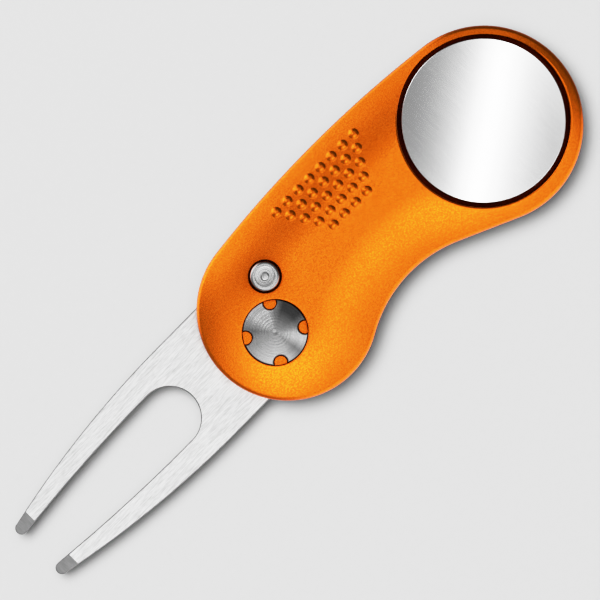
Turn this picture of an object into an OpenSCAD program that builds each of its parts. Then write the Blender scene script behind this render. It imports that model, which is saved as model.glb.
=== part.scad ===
// Folding divot repair tool: a two-pronged steel fork that swings out of a curved
// aluminium handle under a torsion spring, a release button and a magnetic ball marker.
// It lies on its back with the marker up: X runs from the prong tips to the head, Z is up.
// Places are given from the pivot's axis, and every module is moved so that the origin is
// the centre of the underside of the open tool's box.

/* [Handle] */
// Distance from the pivot to the middle of the ball marker
marker_x = 43.4; // [42:0.1:46]
// Radius of the handle's outline round the ball marker
head_r = 14.5; // [14.2:0.1:16]
// Radius of the handle's outline round the pivot
tail_r = 13.3; // [12.8:0.1:14]
// Radius of the long back edge
spine_r = 177; // [150:1:220]
// Radius of the hollow on the front edge
waist_r = 20; // [18:0.5:24]
// Direction of the hollow's centre from the tail's centre, in degrees
waist_angle = -60.5; // [-64:0.5:-58]
// Thickness of the handle
handle_t = 11; // [10.6:0.1:12]
// How far the front is rounded down at its edge
crown_drop = 1.5; // [1:0.1:1.8]
// How far in from the edge the front's rounding reaches
crown_w = 9; // [6:0.5:9]

/* [Fork] */
// Thickness of the fork's plate
fork_t = 1.8; // [1.5:0.1:1.9]
// Distance from the pivot to the ends of the prongs
fork_reach = 47.5; // [44:0.5:47.5]
// Width of the fork where it leaves the handle
fork_w = 17; // [16:0.1:17.4]
// Distance of the fork's middle line from the pivot
fork_offset = 2.25; // [2:0.05:2.4]
// Width of the gap between the prongs at its round end
gap_w = 9.2; // [8:0.1:10]
// Angle that the fork turns through to fold away
fold_angle = 190; // [189:1:191]

/* [Ball marker] */
// Diameter of the ball marker
marker_d = 24; // [23:0.1:24.2]
// Thickness of the ball marker
marker_t = 1.4; // [1:0.1:1.5]
// Diameter of the magnet
magnet_d = 10; // [8:0.5:12]

/* [Pivot and button] */
// Diameter of the pivot cap
cap_d = 9.5; // [9:0.1:9.8]
// Diameter of the release button
button_d = 4.3; // [4:0.1:4.5]
// Travel of the release button
button_travel = 2; // [1.9:0.1:2]

/* [Hidden] */
$fn = 96;
eps = 0.01;

// Heights of the layers, from the back face up
floor_z = 4.4;                        // floor of the fork's slot
slot_h = 2.1;                         // height of the fork's slot
ceiling_z = floor_z + slot_h;         // underside of the front shell
washer_t = 0.12;
washer_r = 6.3;
fork_z = floor_z + (slot_h - fork_t) / 2;
crown_z = handle_t - crown_drop;      // where the front's rounding starts
recess_z = 8.7;                       // floor of the marker's recess
marker_z = recess_z + 0.02;
magnet_t = 1.5;
magnet_z = recess_z - magnet_t - 0.02;

// Outline of the handle: circles and the tangent points between them
tail_c = [3.6, 1.05];
head_c = [marker_x - 0.3, -0.5];
spine_c = circle_meeting(tail_c, spine_r - tail_r, head_c, spine_r - head_r);
waist_c = tail_c + (tail_r + waist_r) * along(waist_angle);
spine_tail_a = bearing(spine_c, tail_c);
spine_head_a = bearing(spine_c, head_c);
flank_a = bearing(head_c, waist_c) + acos((head_r + waist_r) / norm(waist_c - head_c));
tail_steps = 24;
spine_steps = 12;
waist_steps = 10;
flank_steps = 2;
outline_steps = 2 * tail_steps + spine_steps;   // segments on each side, from tail to head
back_round = 1.5;                               // rounding of the back face's edge

// Marker's recess and the raised dots of the thumb grip
recess_r = marker_d / 2 + 0.72;
seat_r = marker_d / 2 - 0.8;          // the marker stands on this seat, with a deep groove round it
groove_z = ceiling_z + 0.8;
dot_pitch = 2.3;
dot_rows = [8, 7, 6, 5, 4];
dot_row_gap = 1.82;
dot_first = [12.6, 12.2];
dot_r = 0.8;
dot_rise = 0.3;

// Pivot: a cap with a hollow post, keyed by four lugs and held by a screw from the back
post_r = 2;
post_bore_r = post_r + 0.03;
post_foot_z = 2;
cap_z = 9.1;
cap_top_z = handle_t - 0.1;
cap_dome = 0.3;                       // how far the cap's domed face falls to its edge
cap_bore_r = cap_d / 2 + 0.1;
lug_r = 1;
lug_orbit = cap_d / 2 - 0.33;
lug_turn = 55;                        // bearing of the first lug
lug_gap = 0.07;
lug_top_z = cap_top_z - cap_dome - 0.1;
lug_root_z = cap_z - 0.3;
chamber_r = 3.3;
relief_r = 4.7;
relief_top_z = ceiling_z + 1;
pivot_screw_r = 1;
pivot_head_r = 2.35;
pivot_head_h = 1.2;
pivot_screw_top_z = 7.4;

// Release button: a cap riveted on a pin whose wide foot stops the fork at both ends
button_at = [4.77, 6.82];
button_bore_r = button_d / 2 + 0.27;
button_seat_z = ceiling_z + 0.6;
button_top_z = handle_t + 1.1;
button_cap_h = 1.8;
neck_r = 1.2;
pin_r = 1.55;
pin_h = slot_h - 0.1;
pin_pocket_z = floor_z - button_travel - 0.3;

// Fork: outline of the plate, the prongs and the tang
taper_x = -14;                        // where the outer edges start to curve in
outer_edge_r = 155;
inner_edge_r = 255;
gap_end_x = -15.2;                    // round end of the gap
gap_x = gap_end_x - gap_w / 2;
tip_r = 0.95;
tip_x = -fork_reach + tip_r;
slot_r = fork_reach + 0.8;            // clears the far corner of the prongs' ends
bevel_len = 3.1;
bevel_edge_t = 0.6;
root_r = 9.9;                         // corners of the root, which turn inside the slot
root_x = -3.5;
lock_orbit = norm(button_at);
lock_a = atan2(button_at[1], button_at[0]);
tang_r = lock_orbit - pin_r - 0.12;
spring_hole_r = 0.42;

// Springs
torsion_wire = 0.66;
torsion_r = 2.75;
torsion_leg_r = 4.05;
torsion_turns = 2.5;
torsion_low_z = fork_z + fork_t + torsion_wire / 2 + 0.05;
torsion_high_z = cap_z - torsion_wire / 2 - 0.08;
button_wire = 0.26;
button_spring_r = 1.75;
button_spring_turns = 3;

// Handle screws, from the back through the spine into the front shell
screw_spots = [[11.5, 12], [29, 12.9], [52.2, 3]];
screw_r = 0.8;
screw_head_r = 1.5;
screw_head_h = 1;
screw_top_z = [9.2, 9.2, 8.1];

// Dowels that line the two shells up
dowel_spots = [[20.5, 12.7], [49.9, -7]];
dowel_r = 0.75;
dowel_low_z = 3;
dowel_top_z = 8;

// Origin: the centre of the open tool's box
box_low = [-fork_reach, head_c[1] - head_r];
box_high = [head_c[0] + head_r, spine_c[1] + spine_r];
origin = (box_low + box_high) / 2;

function along(a) = [cos(a), sin(a)];
function bearing(from, to) = atan2(to[1] - from[1], to[0] - from[0]);

// Centre of the circle that lies ra from a and rb from b, on the right of the way from a to b
function circle_meeting(a, ra, b, rb) =
    let (gap = norm(b - a), toward = (gap * gap + ra * ra - rb * rb) / (2 * gap),
         side = sqrt(ra * ra - toward * toward), dir = bearing(a, b))
    a + toward * along(dir) - side * along(dir + 90);

function arc(centre, r, from, to, steps) =
    [for (i = [0:steps - 1]) centre + r * along(from + (to - from) * i / steps)];

function straight(from, to, steps) = [for (i = [0:steps - 1]) from + (to - from) * i / steps];

// The two sides of the outline moved in by d, each from the tail's end to the head's end
function spine_side(d) = concat(
    arc(tail_c, tail_r - d, 180, spine_tail_a, tail_steps),
    arc(spine_c, spine_r - d, spine_tail_a, spine_head_a, spine_steps),
    arc(head_c, head_r - d, spine_head_a, 0, tail_steps),
    [head_c + [head_r - d, 0]]);

function waist_side(d) = concat(
    arc(tail_c, tail_r - d, 180, 360 + waist_angle, tail_steps),
    arc(waist_c, waist_r + d, waist_angle + 180, flank_a + 180, waist_steps),
    straight(waist_c - (waist_r + d) * along(flank_a),
             head_c + (head_r - d) * along(flank_a), flank_steps),
    arc(head_c, head_r - d, flank_a, 0, tail_steps));

// A closed loop: out along the waist side and back along the spine side
function loop(d) = let (up = spine_side(d), low = waist_side(d))
    concat([for (i = [0:outline_steps - 1]) low[i]], [for (i = [outline_steps:-1:1]) up[i]]);

function raised(points, z) = [for (p = points) [p[0], p[1], z]];

// A solid whose outline is moved in by rings[i][0] at the height rings[i][1]
module rounded_slab(rings) {
    n = 2 * outline_steps;
    last = (len(rings) - 1) * n;
    sides = [for (k = [0:len(rings) - 2], i = [0:n - 1])
        let (j = (i + 1) % n) [k * n + i, k * n + n + i, k * n + n + j, k * n + j]];
    // The ends are ladders between the two sides: rung i joins point i and point n - i
    ladder = [for (i = [0:outline_steps - 1]) [i, i + 1, n - i - 1, (n - i) % n]];
    low = [for (f = ladder) [for (v = f) v]];
    high = [for (f = ladder) [for (v = [3:-1:0]) last + f[v]]];
    halves = function(f) [[f[0], f[1], f[2]], [f[0], f[2], f[3]]];
    faces = [for (f = concat(low, sides, high), h = halves(f)) if (h[0] != h[1] && h[1] != h[2]
        && h[2] != h[0]) h];
    polyhedron([for (ring = rings) each raised(loop(ring[0]), ring[1])], faces, convexity = 6);
}

// Rounding of the front: steepest at the edge and level where it ends
function crown(s) = s * (2 - s);

// A wire along a list of points: a ring of sides round each point
function normal_of(t) = let (n = cross(t, abs(t[2]) > 0.9 ? [1, 0, 0] : [0, 0, 1])) n / norm(n);
module wire(path, r, sides = 8) {
    count = len(path);
    tangent = [for (i = [0:count - 1])
        let (t = path[min(i + 1, count - 1)] - path[max(i - 1, 0)]) t / norm(t)];
    rings = [for (i = [0:count - 1], k = [0:sides - 1])
        let (n = normal_of(tangent[i]), b = cross(tangent[i], n), a = 360 * k / sides)
        path[i] + r * (cos(a) * n + sin(a) * b)];
    skin = [for (i = [0:count - 2], k = [0:sides - 1])
        let (m = (k + 1) % sides, a = i * sides, b = a + sides) each
        [[a + k, a + m, b + m], [a + k, b + m, b + k]]];
    ends = [[for (k = [sides - 1:-1:0]) k], [for (k = [0:sides - 1]) (count - 1) * sides + k]];
    polyhedron(concat(rings), concat(skin, ends), convexity = 8);
}

module centred() { translate([-origin[0], -origin[1], 0]) children(); }
module at_pivot(z) { translate([0, 0, z]) children(); }
module at_button(z) { translate([button_at[0], button_at[1], z]) children(); }

// A flat sector from angle a to angle b, large enough to cut any part
module wedge(a, b, r) {
    steps = 8;
    polygon(concat([[0, 0]], [for (i = [0:steps]) r * along(a + (b - a) * i / steps)]));
}

// --- Handle ---

// Plan of the fork's slot: all that the fork sweeps, up to the spine's inner wall
module slot_plan() {
    half = fork_w / 2;
    open_edge = fork_offset + half + 0.3;
    fold_edge = half - fork_offset + 0.35;
    turn = fold_angle - 180;
    // Points along the folded fork's upper edge, each clear of it
    folded = [for (p = [[0, 0], [16, 0], [30, -0.7], [40, -1.85], [slot_r + 4, -3.9]])
        let (x = p[0], y = fold_edge + p[1])
        [x * cos(turn) - y * sin(turn), x * sin(turn) + y * cos(turn)]];
    intersection() {
        circle(r = slot_r);
        polygon(concat([[-slot_r, open_edge], [root_x + 0.3, open_edge], [0, 0]], folded,
                       [[slot_r + 4, -slot_r], [-slot_r, -slot_r]]));
    }
    circle(r = root_r + 0.3);
    translate(button_at) circle(r = pin_r + 0.6);
}

module handle_screw_cuts() {
    for (i = [0:2]) translate(concat(screw_spots[i], 0)) {
        translate([0, 0, -eps]) cylinder(r = screw_r + 0.07, h = ceiling_z + 2 * eps);
        translate([0, 0, -eps]) cylinder(r = screw_head_r + 0.1, h = screw_head_h + eps);
    }
}

module dowel_cuts() {
    for (spot = dowel_spots) translate(concat(spot, dowel_low_z - 0.05))
        cylinder(r = dowel_r + 0.02, h = dowel_top_z - dowel_low_z + 0.1);
}

module back_shell() {
    rings = concat(
        [for (a = [90:-18:0]) [back_round * (1 - cos(a)), back_round * (1 - sin(a))]],
        [[0, ceiling_z]]);
    color("darkorange") centred() difference() {
        rounded_slab(rings);
        translate([0, 0, floor_z]) linear_extrude(slot_h + 1) slot_plan();
        at_pivot(post_foot_z) cylinder(r = post_bore_r, h = floor_z);
        at_pivot(-1) cylinder(r = pivot_screw_r + 0.35, h = floor_z);
        at_pivot(-eps) cylinder(r = pivot_head_r + 0.15, h = pivot_head_h + eps);
        at_button(pin_pocket_z) cylinder(r = pin_r + 0.15, h = floor_z);
        handle_screw_cuts();
        dowel_cuts();
    }
}

module grip_dots() {
    ball_r = (dot_r * dot_r + dot_rise * dot_rise) / (2 * dot_rise);
    for (row = [0:len(dot_rows) - 1], i = [0:dot_rows[row] - 1]) {
        x = dot_first[0] + (i + row / 2) * dot_pitch;
        y = dot_first[1] - row * dot_row_gap;
        inset = spine_r - norm([x, y] - spine_c);
        z = crown_z + crown_drop * crown(min(1, inset / crown_w));
        translate([x, y, z]) intersection() {
            translate([0, 0, dot_rise - ball_r]) sphere(r = ball_r);
            translate([0, 0, -0.4]) cylinder(r = dot_r + 0.3, h = 1);
        }
    }
}

module front_shell() {
    rings = concat([[0, ceiling_z]],
        [for (s = [0:0.125:1]) [s * crown_w, crown_z + crown_drop * crown(s)]]);
    color("darkorange") centred() union() {
        difference() {
            rounded_slab(rings);
            translate([marker_x, 0, recess_z]) cylinder(r = recess_r, h = 4);
            translate([marker_x, 0, groove_z]) ring(seat_r, recess_r, 4);
            translate([marker_x, 0, magnet_z]) cylinder(r = magnet_d / 2 + 0.05, h = 4);
            at_pivot(ceiling_z - 1) cylinder(r = chamber_r, h = 8);
            at_pivot(ceiling_z - 1) cylinder(r = relief_r, h = relief_top_z - ceiling_z + 1);
            at_pivot(cap_z) cylinder(r = cap_bore_r, h = 4);
            at_button(ceiling_z - 1) cylinder(r = neck_r + 0.08, h = 4);
            at_button(button_seat_z) cylinder(r = button_bore_r, h = 6);
            for (i = [0:2]) translate(concat(screw_spots[i], ceiling_z - 1))
                cylinder(r = screw_r + 0.02, h = screw_top_z[i] - ceiling_z + 1.2);
            dowel_cuts();
        }
        grip_dots();
        // Lugs that key the pivot cap
        for (i = [0:3]) rotate(lug_turn + 90 * i) translate([0, 0, lug_root_z]) intersection() {
            translate([lug_orbit, 0, 0]) cylinder(r = lug_r, h = lug_top_z - lug_root_z);
            cylinder(r = cap_bore_r + 0.25, h = 4);
        }
    }
}

// --- Fork ---

module prong_gap() {
    half = gap_w / 2;
    translate([gap_x, fork_offset]) circle(r = half);
    intersection() {
        translate([-fork_reach - 5, fork_offset - half]) square([gap_x + fork_reach + 5, gap_w]);
        translate([gap_x, fork_offset + half - inner_edge_r]) circle(r = inner_edge_r, $fn = 360);
        translate([gap_x, fork_offset - half + inner_edge_r]) circle(r = inner_edge_r, $fn = 360);
    }
}

// Middle line of a prong where its round tip starts
tip_y = (fork_w / 2 - pow(tip_x - taper_x, 2) / (2 * outer_edge_r)
         + gap_w / 2 - pow(tip_x - gap_x, 2) / (2 * inner_edge_r)) / 2;

module fork_plan() {
    half = fork_w / 2;
    difference() {
        union() {
            intersection() {
                translate([taper_x, fork_offset - half]) square([root_r + 1 - taper_x, fork_w]);
                union() {
                    circle(r = root_r);
                    translate([taper_x, fork_offset - half]) square([root_x - taper_x, fork_w]);
                }
            }
            intersection() {
                translate([tip_x, fork_offset - half]) square([taper_x - tip_x, fork_w]);
                translate([taper_x, fork_offset + half - outer_edge_r])
                    circle(r = outer_edge_r, $fn = 360);
                translate([taper_x, fork_offset - half + outer_edge_r])
                    circle(r = outer_edge_r, $fn = 360);
            }
        }
        prong_gap();
        // The lock pin's path round the tang, from open to folded
        difference() {
            intersection() {
                circle(r = root_r + 5);
                wedge(lock_a - fold_angle, lock_a, 40);
            }
            circle(r = tang_r);
        }
        for (a = [lock_a, lock_a - fold_angle]) translate(lock_orbit * along(a))
            circle(r = pin_r + 0.06);
        circle(r = post_bore_r);
        rotate(torsion_foot_a) translate([torsion_leg_r, 0]) circle(r = spring_hole_r);
    }
    for (side = [-1, 1]) translate([tip_x, fork_offset + side * tip_y]) circle(r = tip_r);
}

module fork() {
    bevel = atan((fork_t - bevel_edge_t) / 2 / bevel_len);
    color("gainsboro") centred() difference() {
        translate([0, 0, fork_z]) linear_extrude(fork_t) fork_plan();
        for (top = [0, 1]) translate([-fork_reach + bevel_len, -20, fork_z + fork_t / 2])
            mirror([0, 0, top]) translate([0, 0, fork_t / 2]) rotate([0, -bevel, 0])
            translate([-20, 0, 0]) cube([20, 40, 5]);
    }
}

// --- Pivot ---

module cap_notch() { translate([lug_orbit, 0]) circle(r = lug_r + lug_gap); }

module pivot_cap() {
    dome_r = (pow(cap_d / 2, 2) + cap_dome * cap_dome) / (2 * cap_dome);
    color("silver") centred() difference() {
        union() {
            intersection() {
                translate([0, 0, cap_z]) linear_extrude(cap_top_z - cap_z) difference() {
                    circle(r = cap_d / 2);
                    for (i = [0:3]) rotate(lug_turn + 90 * i) cap_notch();
                }
                translate([0, 0, cap_top_z - dome_r]) sphere(r = dome_r, $fn = 360);
            }
            at_pivot(post_foot_z) cylinder(r = post_r, h = cap_z - post_foot_z + 0.5);
        }
        at_pivot(0) cylinder(r = pivot_screw_r + 0.02, h = pivot_screw_top_z + 0.2);
        rotate(torsion_head_a) translate([torsion_r, 0, 0])
            cylinder(r = torsion_wire / 2 + 0.06, h = cap_z + 0.8);
    }
}

module cross_recess(size, depth) {
    for (a = [0, 90]) rotate(a) cube([size, size / 4, 2 * depth], center = true);
}

// A screw from the back with a low head sunk in its counterbore
module back_screw(r, head_r, head_h, top_z) {
    difference() {
        union() {
            translate([0, 0, 0.15]) cylinder(r1 = head_r, r2 = head_r - 0.15, h = head_h - 0.17);
            translate([0, 0, 0.5]) cylinder(r = r, h = top_z - 0.7);
            translate([0, 0, top_z - 0.2]) cylinder(r1 = r, r2 = r - 0.2, h = 0.2);
        }
        translate([0, 0, 0.15]) cross_recess(head_r * 1.2, 0.6);
    }
}

module pivot_screw() {
    color("silver") centred()
        back_screw(pivot_screw_r, pivot_head_r, pivot_head_h, pivot_screw_top_z);
}
module tail_screw() { handle_screw(0); }
module spine_screw() { handle_screw(1); }
module head_screw() { handle_screw(2); }
module handle_screw(i) {
    color("silver") centred() translate(concat(screw_spots[i], 0))
        back_screw(screw_r, screw_head_r, screw_head_h, screw_top_z[i]);
}

module spine_dowel() { dowel(0); }
module head_dowel() { dowel(1); }
module dowel(i) {
    bevel = 0.15;
    color("silver") centred() translate(concat(dowel_spots[i], dowel_low_z)) union() {
        cylinder(r1 = dowel_r - bevel, r2 = dowel_r, h = bevel);
        translate([0, 0, bevel]) cylinder(r = dowel_r, h = dowel_top_z - dowel_low_z - 2 * bevel);
        translate([0, 0, dowel_top_z - dowel_low_z - bevel])
            cylinder(r1 = dowel_r, r2 = dowel_r - bevel, h = bevel);
    }
}

module ring(r_in, r_out, h) {
    difference() {
        cylinder(r = r_out, h = h);
        translate([0, 0, -1]) cylinder(r = r_in, h = h + 2);
    }
}

module back_washer() {
    color("peru") centred() at_pivot(floor_z) ring(post_r + 0.05, washer_r, washer_t);
}
module front_washer() {
    color("peru") centred() at_pivot(ceiling_z - washer_t) ring(relief_r + 0.1, washer_r, washer_t);
}

torsion_foot_a = 250;                 // where the lower leg enters the fork
torsion_head_a = torsion_foot_a + 360 * torsion_turns + 20;
module torsion_spring() {
    steps = 20;                       // for each turn
    rise = (torsion_high_z - torsion_low_z) / torsion_turns;
    coil = [for (i = [1:steps * torsion_turns]) let (t = i / steps)
        [torsion_r * cos(torsion_foot_a + 20 + 360 * t), torsion_r * sin(torsion_foot_a + 20 + 360 * t),
         torsion_low_z + rise * t]];
    foot = [torsion_leg_r * cos(torsion_foot_a), torsion_leg_r * sin(torsion_foot_a), 0];
    lower_leg = [foot + [0, 0, fork_z + 0.3], foot + [0, 0, torsion_low_z - 0.25],
        0.93 * foot + [0, 0, torsion_low_z]];
    head = [torsion_r * cos(torsion_head_a), torsion_r * sin(torsion_head_a), 0];
    upper_leg = [head + [0, 0, torsion_high_z + 0.35], head + [0, 0, cap_z + 0.7]];
    color("dimgray") centred() wire(concat(lower_leg, coil, upper_leg), torsion_wire / 2);
}

// --- Button ---

module button_cap() {
    low_z = button_top_z - button_cap_h;
    color("silver") centred() at_button(low_z) difference() {
        union() {
            cylinder(r = button_d / 2, h = button_cap_h - 0.3);
            translate([0, 0, button_cap_h - 0.3])
                cylinder(r1 = button_d / 2, r2 = button_d / 2 - 0.3, h = 0.3);
        }
        translate([0, 0, -1]) cylinder(r = 0.62, h = 5);
    }
}

module lock_pin() {
    low_z = button_top_z - button_cap_h;
    color("silver") centred() union() {
        at_button(ceiling_z - pin_h) cylinder(r = pin_r, h = pin_h - 0.02);
        at_button(ceiling_z - 0.1) cylinder(r = neck_r, h = low_z - ceiling_z + 0.08);
        at_button(low_z - 0.1) cylinder(r = 0.6, h = button_cap_h + 0.14);
    }
}

module button_spring() {
    steps = 16;                       // for each turn
    low_z = button_seat_z + button_wire / 2;
    high_z = button_top_z - button_cap_h - button_wire / 2 - 0.02;
    rise = (high_z - low_z) / button_spring_turns;
    coil = [for (i = [0:steps * button_spring_turns]) let (t = i / steps)
        [button_spring_r * cos(360 * t), button_spring_r * sin(360 * t), low_z + 0.02 + rise * t]];
    color("dimgray") centred() at_button(0) wire(coil, button_wire / 2);
}

// --- Ball marker ---

module ball_marker() {
    bevel = 0.45;
    color("whitesmoke") centred() translate([marker_x, 0, marker_z]) union() {
        cylinder(r = marker_d / 2 - 0.2, h = 0.25);
        translate([0, 0, 0.2]) cylinder(r = marker_d / 2, h = marker_t - 0.2 - bevel / 2);
        translate([0, 0, marker_t - bevel / 2])
            cylinder(r1 = marker_d / 2, r2 = marker_d / 2 - bevel, h = bevel / 2);
    }
}

module magnet() {
    color("gray") centred() translate([marker_x, 0, magnet_z + 0.01])
        cylinder(r = magnet_d / 2, h = magnet_t - 0.02);
}

back_shell();
front_shell();
fork();
pivot_cap();
pivot_screw();
back_washer();
front_washer();
torsion_spring();
button_cap();
lock_pin();
button_spring();
ball_marker();
magnet();
tail_screw();
spine_screw();
head_screw();
spine_dowel();
head_dowel();
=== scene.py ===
import math

import bpy
import numpy as np
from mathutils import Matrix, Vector, geometry


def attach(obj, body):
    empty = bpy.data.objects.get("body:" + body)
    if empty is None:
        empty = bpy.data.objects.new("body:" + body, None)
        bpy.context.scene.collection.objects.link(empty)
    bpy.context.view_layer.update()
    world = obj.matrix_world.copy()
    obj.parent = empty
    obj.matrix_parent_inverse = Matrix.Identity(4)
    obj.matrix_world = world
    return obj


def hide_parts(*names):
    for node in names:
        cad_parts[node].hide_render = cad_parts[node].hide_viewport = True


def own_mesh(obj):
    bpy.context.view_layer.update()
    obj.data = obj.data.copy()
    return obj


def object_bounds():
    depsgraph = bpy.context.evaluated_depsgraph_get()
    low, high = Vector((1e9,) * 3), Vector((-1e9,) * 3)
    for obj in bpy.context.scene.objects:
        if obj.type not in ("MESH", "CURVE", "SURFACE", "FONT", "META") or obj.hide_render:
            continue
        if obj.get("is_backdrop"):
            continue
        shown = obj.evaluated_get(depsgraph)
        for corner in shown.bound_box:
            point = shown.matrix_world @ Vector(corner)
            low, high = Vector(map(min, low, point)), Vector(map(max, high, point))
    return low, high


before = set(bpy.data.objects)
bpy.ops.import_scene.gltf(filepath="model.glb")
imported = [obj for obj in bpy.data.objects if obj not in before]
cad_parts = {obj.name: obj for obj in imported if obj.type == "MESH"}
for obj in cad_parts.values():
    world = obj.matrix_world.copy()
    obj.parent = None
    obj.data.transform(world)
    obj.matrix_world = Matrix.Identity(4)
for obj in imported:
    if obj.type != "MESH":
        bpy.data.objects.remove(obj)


def plain(value):
    if isinstance(value, dict):
        return {k: plain(v) for k, v in value.items()}
    if isinstance(value, (int, float, str)):
        return value
    return [plain(v) for v in value]


cad_bounds = plain(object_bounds())

# All sizes are in millimetres from the pivot's axis, and go to the row frame in metres.
PIVOT_X = -0.00505
PIVOT_Y = -0.000190985

MARKER = (43.4, 0.0)
RECESS_R = 12.72
RECESS_Z = 8.7
SEAT_R = 11.2
GROOVE_Z = 7.3
MARKER_R = 12.0
MARKER_Z = 8.72
MARKER_T = 1.4
MARKER_DOME = 0.115
POCKET_R = 5.05
POCKET_Z = 7.18

TAIL = (3.6, 1.05)
TAIL_R = 13.3
HEAD = (43.1, -0.5)
HEAD_R = 14.5
SPINE = (21.9522, -161.618)
SPINE_R = 177.0
WAIST = (19.9977, -27.9328)
WAIST_R = 20.0
WAIST_FROM = 119.5
WAIST_TO = 65.755
FLANK_A = -114.245
SPINE_HEAD_A = 82.5223
SPINE_TAIL_A = 96.4369

FLOOR_Z = 4.4
CEILING_Z = 6.5
BACK_ROUND = 1.5
PIN_POCKET_R = 1.7
POST_R = 1.95
POST_BORE_R = 2.03
POST_FOOT_Z = 2.0
PIVOT_COUNTERBORE = (2.5, 1.2)
SCREW_COUNTERBORE = (1.6, 1.0)
CROWN_Z = 9.5
CROWN_DROP = 1.5
CROWN_W = 9.0
EDGE_ROUND = 0.85

CAP_R = 4.75
CAP_Z = 9.1
CAP_TOP = 10.9
CAP_DOME = 0.3
CAP_BORE_R = 4.85
CAP_EDGE = 0.14
LUG_R = 1.0
LUG_ORBIT = 4.42
LUG_TURN = 55.0
LUG_TOP = 10.5
NOTCH_R = 1.07
CHAMBER_R = 3.3
RELIEF_R = 4.7
RELIEF_Z = 7.5

BUTTON = (4.77, 6.82)
BUTTON_R = 2.15
BUTTON_BORE_R = 2.42
BUTTON_SEAT_Z = 7.1
PIN_BORE_R = 1.28
BUTTON_LOW = 10.3
BUTTON_TOP = 12.1
BUTTON_TRAVEL = 2.0

DOT_ROWS = (8, 7, 6, 5, 4)
DOT_PITCH = 2.3
DOT_ROW_GAP = 1.82
DOT_FIRST = (12.6, 12.2)
DOT_R = 0.8
DOT_RISE = 0.3

FORK_LOW = 4.55
FORK_TOP = 6.35
FORK_MID = 2.25
FORK_HALF = 8.5
GAP_HALF = 4.6
GAP_X = -19.8
TAPER_X = -14.0
OUTER_EDGE_R = 155.0
INNER_EDGE_R = 255.0
BEVEL_X = -44.4
BEVEL_DROP = 0.6
TIP_X = -47.5
TIP = (-46.55, 4.14)
TIP_R = 0.95
FORK_EDGE = 0.15
TANG_R = 6.65
ROOT_R = 9.9
ROOT_X = -3.5
LOCK_R = 1.61
LOCK_ORBIT = math.hypot(*BUTTON)
LOCK_A = math.degrees(math.atan2(BUTTON[1], BUTTON[0]))
FOLD_A = 190.0

SCREWS = ((11.5, 12.0), (29.0, 12.9), (52.2, 3.0))


# --- Plan geometry ---


def along(angle):
    a = math.radians(angle)
    return math.cos(a), math.sin(a)


def arc(centre, radius, start, end, steps):
    """Points along an arc, without its last one."""
    points = []
    for i in range(steps):
        c, s = along(start + (end - start) * i / steps)
        points.append((centre[0] + radius * c, centre[1] + radius * s))
    return points


def circle(centre, radius, steps, start=0.0):
    return arc(centre, radius, start, start + 360.0, steps)


FLANK_DIR = along(FLANK_A)
FLANK_LOW = (WAIST[0] - WAIST_R * FLANK_DIR[0], WAIST[1] - WAIST_R * FLANK_DIR[1])
FLANK_HIGH = (HEAD[0] + HEAD_R * FLANK_DIR[0], HEAD[1] + HEAD_R * FLANK_DIR[1])
FLANK_LEN = math.dist(FLANK_LOW, FLANK_HIGH)


def outline(d):
    """The handle's outline moved in by d, anticlockwise from the tail's end, with its outward normals."""
    points = arc(TAIL, TAIL_R - d, 180, 360 - 60.5, 44)
    normals = arc((0, 0), 1, 180, 360 - 60.5, 44)
    points += arc(WAIST, WAIST_R + d, WAIST_FROM, WAIST_TO, 36)
    normals += arc((0, 0), -1, WAIST_FROM, WAIST_TO, 36)
    for i in range(14):
        x = FLANK_LOW[0] + (FLANK_HIGH[0] - FLANK_LOW[0]) * i / 14
        y = FLANK_LOW[1] + (FLANK_HIGH[1] - FLANK_LOW[1]) * i / 14
        points.append((x - d * FLANK_DIR[0], y - d * FLANK_DIR[1]))
        normals.append(FLANK_DIR)
    points += arc(HEAD, HEAD_R - d, FLANK_A, SPINE_HEAD_A, 84)
    normals += arc((0, 0), 1, FLANK_A, SPINE_HEAD_A, 84)
    points += arc(SPINE, SPINE_R - d, SPINE_HEAD_A, SPINE_TAIL_A, 60)
    normals += arc((0, 0), 1, SPINE_HEAD_A, SPINE_TAIL_A, 60)
    points += arc(TAIL, TAIL_R - d, SPINE_TAIL_A, 180, 34)
    normals += arc((0, 0), 1, SPINE_TAIL_A, 180, 34)
    return points, normals


def inset(x, y):
    """How far points are in from the handle's edge, up to the crown's width."""
    best = np.full(x.shape, CROWN_W)
    arcs = (
        (TAIL, TAIL_R, SPINE_TAIL_A, 299.5 - SPINE_TAIL_A, 1),
        (HEAD, HEAD_R, FLANK_A, SPINE_HEAD_A - FLANK_A, 1),
        (SPINE, SPINE_R, SPINE_HEAD_A, SPINE_TAIL_A - SPINE_HEAD_A, 1),
        (WAIST, WAIST_R, WAIST_TO, WAIST_FROM - WAIST_TO, -1),
    )
    for centre, radius, start, sweep, sign in arcs:
        dx = x - centre[0]
        dy = y - centre[1]
        turn = (np.degrees(np.arctan2(dy, dx)) - start + 0.001) % 360
        far = sign * (radius - np.hypot(dx, dy))
        best = np.where((turn <= sweep + 0.002) & (far < best), far, best)
    dx = x - FLANK_LOW[0]
    dy = y - FLANK_LOW[1]
    ux = (FLANK_HIGH[0] - FLANK_LOW[0]) / FLANK_LEN
    uy = (FLANK_HIGH[1] - FLANK_LOW[1]) / FLANK_LEN
    run = dx * ux + dy * uy
    far = uy * -dx + ux * dy
    best = np.where((run >= 0) & (run <= FLANK_LEN) & (far < best), far, best)
    return np.clip(best, 0.0, CROWN_W)


def crown(s):
    return s * (2 - s)


def dot_spots():
    """Middles of the grip's raised dots."""
    spots = []
    for row, count in enumerate(DOT_ROWS):
        for i in range(count):
            x = DOT_FIRST[0] + (i + row / 2) * DOT_PITCH
            spots.append((x, DOT_FIRST[1] - row * DOT_ROW_GAP))
    return spots


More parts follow.
